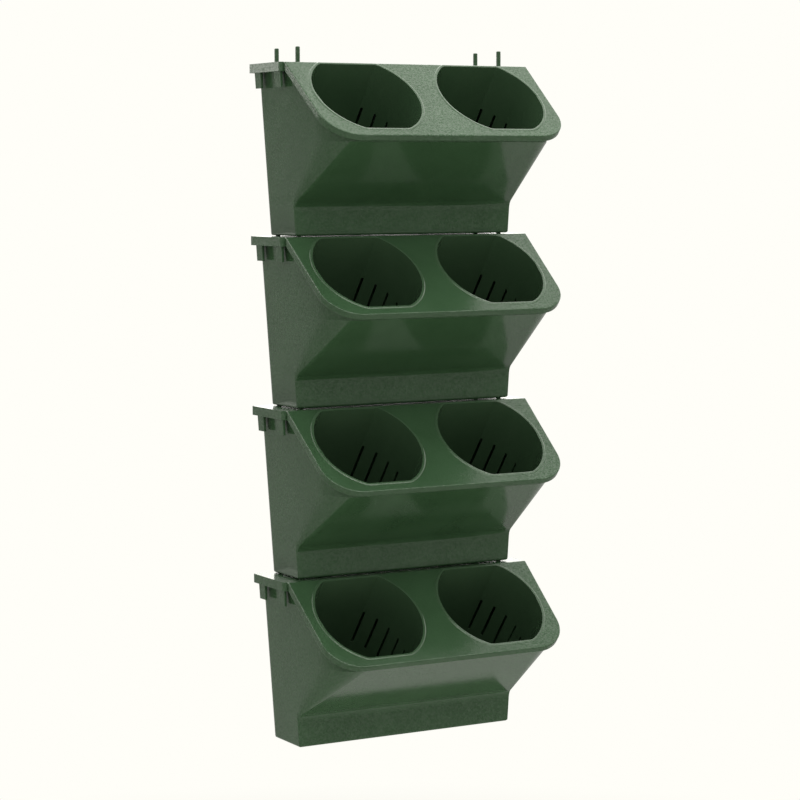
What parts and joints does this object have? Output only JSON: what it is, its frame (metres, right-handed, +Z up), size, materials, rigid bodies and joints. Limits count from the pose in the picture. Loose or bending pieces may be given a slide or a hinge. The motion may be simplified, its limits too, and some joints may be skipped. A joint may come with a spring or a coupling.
{
  "type": "wall planter",
  "caption": "Stacking wall planter: peg-stacked tiers with a sloping cover and lift-out slotted pots, hung or screwed flat against a wall.",
  "frame": {"origin": "midway between the lowest tier's two wall screw holes, in the wall plane", "axes": "+Z up, +Y into the wall, +X to the right seen from the front"},
  "size_m": [0.3293, 0.1895, 0.8175],
  "materials": {
    "housing_plastic": "fine-grained moulded polypropylene, dark green",
    "cover_plastic": "fine-grained moulded polypropylene, green",
    "pot_plastic": "smooth moulded polypropylene, dark green",
    "peg_plastic": "extruded plastic rod, green"
  },
  "bodies": {
    "tier_1": {"tier1_housing": "housing_plastic", "tier1_cover": "cover_plastic", "tier1_pegs": "peg_plastic"},
    "pot_1_left": {"tier1_pot_left": "pot_plastic"},
    "pot_1_right": {"tier1_pot_right": "pot_plastic"},
    "tier_2": {"tier2_housing": "housing_plastic", "tier2_cover": "cover_plastic", "tier2_pegs": "peg_plastic"},
    "pot_2_left": {"tier2_pot_left": "pot_plastic"},
    "pot_2_right": {"tier2_pot_right": "pot_plastic"},
    "tier_3": {"tier3_housing": "housing_plastic", "tier3_cover": "cover_plastic", "tier3_pegs": "peg_plastic"},
    "pot_3_left": {"tier3_pot_left": "pot_plastic"},
    "pot_3_right": {"tier3_pot_right": "pot_plastic"},
    "tier_4": {"tier4_housing": "housing_plastic", "tier4_cover": "cover_plastic", "tier4_pegs": "peg_plastic"},
    "pot_4_left": {"tier4_pot_left": "pot_plastic"},
    "pot_4_right": {"tier4_pot_right": "pot_plastic"}
  },
  "joints": [
    {"name": "tier_2_lift", "type": "slide", "parent": "tier_1", "child": "tier_2", "axis": [0, 0, 1], "range_m": [0, 0.03]},
    {"name": "tier_3_lift", "type": "slide", "parent": "tier_2", "child": "tier_3", "axis": [0, 0, 1], "range_m": [0, 0.03]},
    {"name": "tier_4_lift", "type": "slide", "parent": "tier_3", "child": "tier_4", "axis": [0, 0, 1], "range_m": [0, 0.03]},
    {"name": "pot_1_left_lift", "type": "slide", "parent": "tier_1", "child": "pot_1_left", "axis": [0, -0.6171, 0.7869], "range_m": [0, 0.1]},
    {"name": "pot_1_right_lift", "type": "slide", "parent": "tier_1", "child": "pot_1_right", "axis": [0, -0.6171, 0.7869], "range_m": [0, 0.1]},
    {"name": "pot_2_left_lift", "type": "slide", "parent": "tier_2", "child": "pot_2_left", "axis": [0, -0.6171, 0.7869], "range_m": [0, 0.1]},
    {"name": "pot_2_right_lift", "type": "slide", "parent": "tier_2", "child": "pot_2_right", "axis": [0, -0.6171, 0.7869], "range_m": [0, 0.1]},
    {"name": "pot_3_left_lift", "type": "slide", "parent": "tier_3", "child": "pot_3_left", "axis": [0, -0.6171, 0.7869], "range_m": [0, 0.1]},
    {"name": "pot_3_right_lift", "type": "slide", "parent": "tier_3", "child": "pot_3_right", "axis": [0, -0.6171, 0.7869], "range_m": [0, 0.1]},
    {"name": "pot_4_left_lift", "type": "slide", "parent": "tier_4", "child": "pot_4_left", "axis": [0, -0.6171, 0.7869], "range_m": [0, 0.1]},
    {"name": "pot_4_right_lift", "type": "slide", "parent": "tier_4", "child": "pot_4_right", "axis": [0, -0.6171, 0.7869], "range_m": [0, 0.1]}
  ]
}
